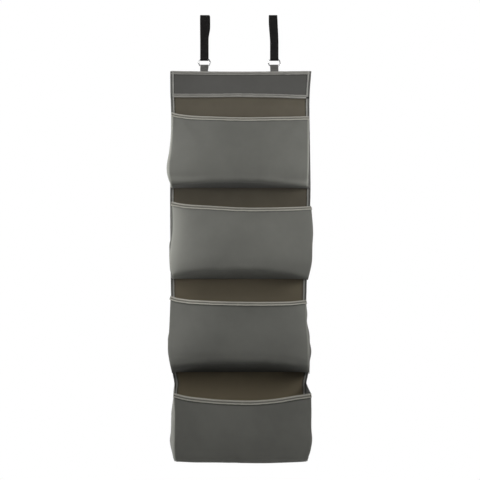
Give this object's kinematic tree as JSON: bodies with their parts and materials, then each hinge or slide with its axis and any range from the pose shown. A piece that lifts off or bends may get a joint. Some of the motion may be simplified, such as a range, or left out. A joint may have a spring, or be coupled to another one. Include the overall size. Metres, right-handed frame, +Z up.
{
  "type": "hanging shoe organizer",
  "caption": "Hanging fabric shoe organizer: a stiffened header and stacked bellows pockets on a long back panel, wire rings and hook-and-loop straps for a closet rod.",
  "frame": {"origin": "on the closet rod's axis, midway between the two straps", "axes": "+X along the closet rod to the viewer's right, +Y behind the organizer, +Z up"},
  "size_m": [0.34, 0.1279, 1.0703],
  "materials": {
    "panel_cloth": "matte grey non-woven cloth",
    "pocket_cloth": "matte grey non-woven cloth",
    "binding": "light grey folded binding tape",
    "tab_ribbon": "ribbed grey ribbon",
    "webbing": "black woven webbing",
    "hook_loop": "black hook-and-loop tape",
    "board": "thin fibre board",
    "ring_chrome": "bright plated wire"
  },
  "bodies": {
    "straps": {"left_strap": "webbing", "left_loop_pad": "hook_loop", "right_strap": "webbing", "right_loop_pad": "hook_loop"},
    "left_tail": {"left_strap_tail": "webbing", "left_hook_pad": "hook_loop"},
    "right_tail": {"right_strap_tail": "webbing", "right_hook_pad": "hook_loop"},
    "left_ring": {"left_ring": "ring_chrome"},
    "right_ring": {"right_ring": "ring_chrome"},
    "header": {"back_panel_header": "panel_cloth", "header_front": "panel_cloth", "header_stiffener": "board", "top_binding": "binding", "header_binding": "binding", "left_tab": "tab_ribbon", "right_tab": "tab_ribbon", "left_side_binding_header": "binding", "right_side_binding_header": "binding"},
    "section_1": {"back_panel_1": "panel_cloth", "left_side_binding_1": "binding", "right_side_binding_1": "binding", "pocket_1_floor": "pocket_cloth", "pocket_1_left_gusset": "pocket_cloth", "pocket_1_right_gusset": "pocket_cloth"},
    "pocket_1_mouth": {"pocket_1_front": "pocket_cloth", "pocket_1_mouth_binding": "binding"},
    "section_2": {"back_panel_2": "panel_cloth", "left_side_binding_2": "binding", "right_side_binding_2": "binding", "pocket_2_floor": "pocket_cloth", "pocket_2_left_gusset": "pocket_cloth", "pocket_2_right_gusset": "pocket_cloth"},
    "pocket_2_mouth": {"pocket_2_front": "pocket_cloth", "pocket_2_mouth_binding": "binding"},
    "section_3": {"back_panel_3": "panel_cloth", "left_side_binding_3": "binding", "right_side_binding_3": "binding", "pocket_3_floor": "pocket_cloth", "pocket_3_left_gusset": "pocket_cloth", "pocket_3_right_gusset": "pocket_cloth"},
    "pocket_3_mouth": {"pocket_3_front": "pocket_cloth", "pocket_3_mouth_binding": "binding"},
    "section_4": {"back_panel_4": "panel_cloth", "left_side_binding_4": "binding", "right_side_binding_4": "binding", "pocket_4_floor": "pocket_cloth", "pocket_4_left_gusset": "pocket_cloth", "pocket_4_right_gusset": "pocket_cloth"},
    "pocket_4_mouth": {"pocket_4_front": "pocket_cloth", "pocket_4_mouth_binding": "binding"}
  },
  "joints": [
    {"name": "left_tail_peel", "type": "hinge", "parent": "straps", "child": "left_tail", "pos_m": [-0.08375, 0, 0.0167], "axis": [-1, 0, 0], "range_deg": [0, 130]},
    {"name": "right_tail_peel", "type": "hinge", "parent": "straps", "child": "right_tail", "pos_m": [0.08375, 0, 0.0167], "axis": [-1, 0, 0], "range_deg": [0, 130]},
    {"name": "left_ring_swing", "type": "hinge", "parent": "straps", "child": "left_ring", "pos_m": [-0.08375, 0, -0.0889], "axis": [-1, 0, 0], "range_deg": [-45, 45]},
    {"name": "right_ring_swing", "type": "hinge", "parent": "straps", "child": "right_ring", "pos_m": [0.08375, 0, -0.0889], "axis": [-1, 0, 0], "range_deg": [-45, 45]},
    {"name": "header_swing", "type": "hinge", "parent": "left_ring", "child": "header", "pos_m": [-0.08375, 0, -0.1039], "axis": [-1, 0, 0], "range_deg": [-45, 45]},
    {"name": "fold_1", "type": "hinge", "parent": "header", "child": "section_1", "pos_m": [0.00375, 0.00664, -0.19727], "axis": [-1, 0, 0], "range_deg": [-25, 60], "stiffness_Nm_per_rad": 0.15, "springref_deg": 4.56},
    {"name": "fold_2", "type": "hinge", "parent": "section_1", "child": "section_2", "pos_m": [0.00375, 0.01897, -0.41322], "axis": [-1, 0, 0], "range_deg": [-25, 60], "stiffness_Nm_per_rad": 0.15, "springref_deg": 7.01},
    {"name": "fold_3", "type": "hinge", "parent": "section_2", "child": "section_3", "pos_m": [0.00375, 0.03179, -0.63746], "axis": [-1, 0, 0], "range_deg": [-25, 55], "stiffness_Nm_per_rad": 0.15, "springref_deg": 7.32},
    {"name": "fold_4", "type": "hinge", "parent": "section_3", "child": "section_4", "pos_m": [0.00375, 0.04462, -0.86209], "axis": [-1, 0, 0], "range_deg": [-25, 40], "stiffness_Nm_per_rad": 0.15, "springref_deg": 5.35},
    {"name": "pocket_1_mouth_swing", "type": "hinge", "parent": "section_1", "child": "pocket_1_mouth", "pos_m": [0.00375, -0.07025, -0.35752], "axis": [-1, 0, 0], "range_deg": [-15, 14], "stiffness_Nm_per_rad": 0.15, "springref_deg": -0.89},
    {"name": "pocket_2_mouth_swing", "type": "hinge", "parent": "section_2", "child": "pocket_2_mouth", "pos_m": [0.00375, -0.05785, -0.57447], "axis": [-1, 0, 0], "range_deg": [-15, 14], "stiffness_Nm_per_rad": 0.15, "springref_deg": -0.87},
    {"name": "pocket_3_mouth_swing", "type": "hinge", "parent": "section_3", "child": "pocket_3_mouth", "pos_m": [0.00375, -0.04509, -0.7978], "axis": [-1, 0, 0], "range_deg": [-15, 14], "stiffness_Nm_per_rad": 0.15, "springref_deg": -0.81},
    {"name": "pocket_4_mouth_swing", "type": "hinge", "parent": "section_4", "child": "pocket_4_mouth", "pos_m": [0.00375, -0.03826, -1.02258], "axis": [-1, 0, 0], "range_deg": [-10, 35], "stiffness_Nm_per_rad": 0.15, "springref_deg": -0.06}
  ],
  "couplings": [
    {"joint": "right_ring_swing", "follows": "left_ring_swing", "ratio": 1}
  ]
}
